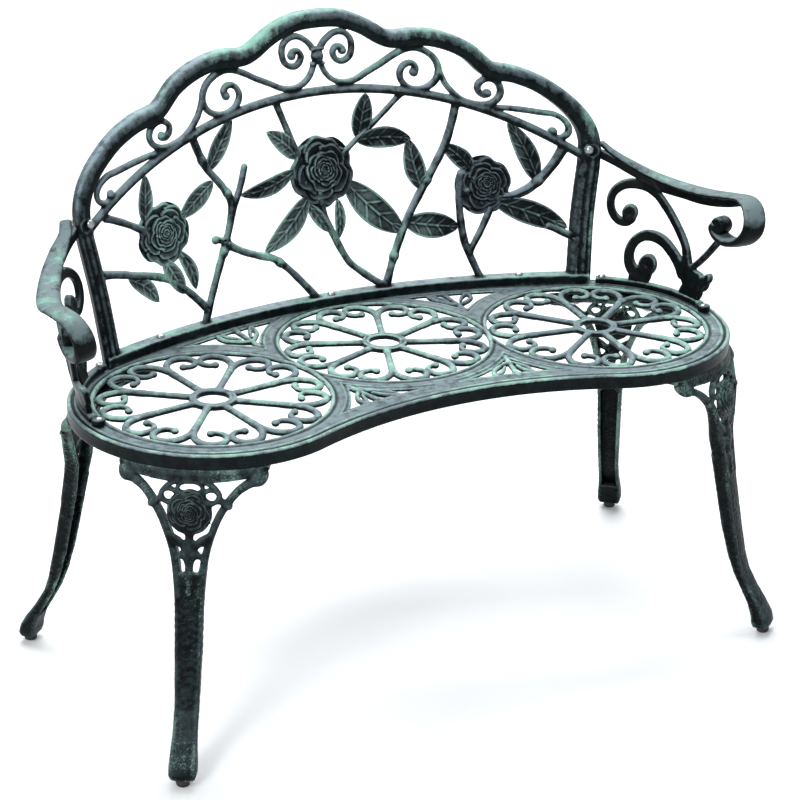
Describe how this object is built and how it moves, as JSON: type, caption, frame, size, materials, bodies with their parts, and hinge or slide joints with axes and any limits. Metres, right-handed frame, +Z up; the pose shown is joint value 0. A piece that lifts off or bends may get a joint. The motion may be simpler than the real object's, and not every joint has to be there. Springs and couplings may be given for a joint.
{
  "type": "garden bench",
  "caption": "Cast garden bench in worn dark green paint, with a curved back of scrolls over roses, scrolled arms, a pierced kidney-shaped seat and splayed legs.",
  "frame": {"origin": "on the ground, in the middle of the bench's width and depth", "axes": "+X along the bench's length, towards the right as seen by someone facing the seat; -Y to the front, +Y to the back; +Z up"},
  "size_m": [1.0796, 0.5699, 0.8375],
  "materials": {
    "seat_paint": "worn dark green paint with mint-grey rub marks and a soft sheen",
    "back_paint": "worn dark green paint with mint verdigris on the raised edges",
    "arm_paint": "worn dark green paint with mint verdigris on the raised edges",
    "leg_paint": "near-black paint with dark green speckle",
    "bolt_metal": "weathered bright steel",
    "pad_rubber": "dull black rubber"
  },
  "bodies": {
    "root": {"seat_casting": "seat_paint", "back_casting": "back_paint", "arm_right": "arm_paint", "arm_left": "arm_paint", "leg_front_left": "leg_paint", "foot_pad_front_left": "pad_rubber", "leg_bolt_front_left_a": "bolt_metal", "leg_bolt_front_left_b": "bolt_metal", "leg_front_right": "leg_paint", "foot_pad_front_right": "pad_rubber", "leg_bolt_front_right_a": "bolt_metal", "leg_bolt_front_right_b": "bolt_metal", "leg_back_right": "leg_paint", "foot_pad_back_right": "pad_rubber", "leg_bolt_back_right_a": "bolt_metal", "leg_bolt_back_right_b": "bolt_metal", "leg_back_left": "leg_paint", "foot_pad_back_left": "pad_rubber", "leg_bolt_back_left_a": "bolt_metal", "leg_bolt_back_left_b": "bolt_metal", "back_screw_left": "bolt_metal", "back_nut_left": "bolt_metal", "back_screw_middle": "bolt_metal", "back_nut_middle": "bolt_metal", "back_screw_right": "bolt_metal", "back_nut_right": "bolt_metal", "arm_screw_left_rear": "bolt_metal", "arm_nut_left_rear": "bolt_metal", "arm_screw_left_front": "bolt_metal", "arm_nut_left_front": "bolt_metal", "post_screw_left": "bolt_metal", "post_nut_left": "bolt_metal", "arm_screw_right_rear": "bolt_metal", "arm_nut_right_rear": "bolt_metal", "arm_screw_right_front": "bolt_metal", "arm_nut_right_front": "bolt_metal", "post_screw_right": "bolt_metal", "post_nut_right": "bolt_metal"}
  },
  "joints": []
}
